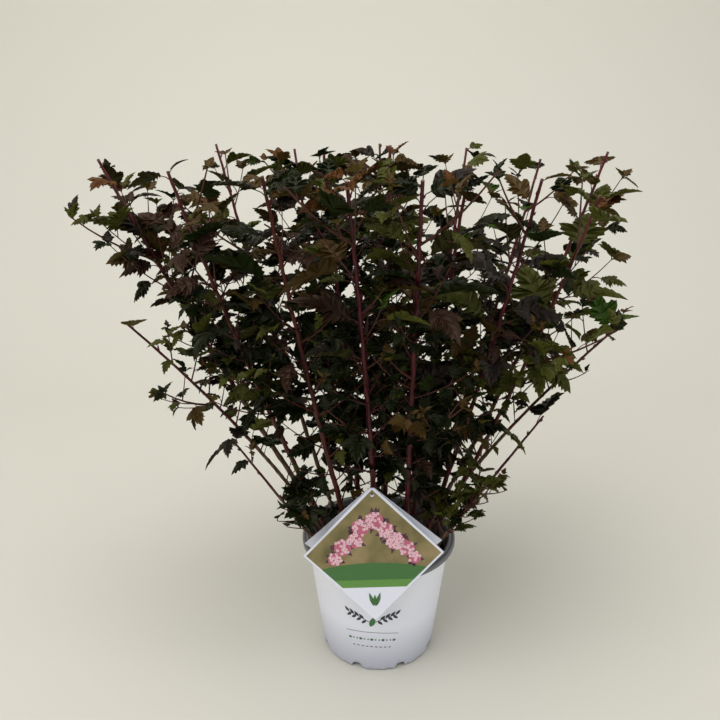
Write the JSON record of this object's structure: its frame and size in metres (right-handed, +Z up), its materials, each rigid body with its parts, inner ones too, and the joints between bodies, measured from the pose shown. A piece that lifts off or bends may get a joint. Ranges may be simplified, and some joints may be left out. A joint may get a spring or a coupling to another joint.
{
  "type": "potted ninebark shrub",
  "caption": "Young ninebark shrub with dark lobed leaves on a fan of upright canes, in a round nursery pot with a folded plant label over its rim.",
  "frame": {"origin": "middle of the flat underside of the pot", "axes": "+Z up along the pot's axis, -Y towards the plant label, +X to the right as the label is seen"},
  "size_m": [0.4987, 0.3696, 0.4839],
  "materials": {
    "pot": "white printed plastic with a grey rim",
    "potting_mix": "dark damp bark and peat",
    "label": "printed plastic card",
    "bark": "dark red bark, tan brown when old",
    "leaves": "dark bronze to green leaves"
  },
  "bodies": {
    "root": {"pot": "pot", "potting_mix": "potting_mix", "plant_label": "label", "cane_front_left": "bark", "cane_front_right": "bark", "cane_front_outer_left": "bark", "cane_front_outer_right": "bark", "cane_right_inner": "bark", "cane_right_front": "bark", "cane_right": "bark", "cane_right_low": "bark", "cane_right_lower": "bark", "cane_right_lowest": "bark", "cane_left": "bark", "cane_left_front": "bark", "cane_left_back": "bark", "cane_left_low": "bark", "cane_left_lower": "bark", "cane_left_lowest": "bark", "cane_middle_left": "bark", "cane_middle": "bark", "cane_back_left": "bark", "cane_back": "bark", "cane_back_right": "bark", "cane_right_back": "bark", "foliage_front_left": "leaves", "foliage_front_right": "leaves", "foliage_front_outer_left": "leaves", "foliage_front_outer_right": "leaves", "foliage_right_inner": "leaves", "foliage_right_front": "leaves", "foliage_right": "leaves", "foliage_right_low": "leaves", "foliage_right_lower": "leaves", "foliage_right_lowest": "leaves", "foliage_left": "leaves", "foliage_left_front": "leaves", "foliage_left_back": "leaves", "foliage_left_low": "leaves", "foliage_left_lower": "leaves", "foliage_left_lowest": "leaves", "foliage_middle_left": "leaves", "foliage_middle": "leaves", "foliage_back_left": "leaves", "foliage_back": "leaves", "foliage_back_right": "leaves", "foliage_right_back": "leaves"}
  },
  "joints": []
}
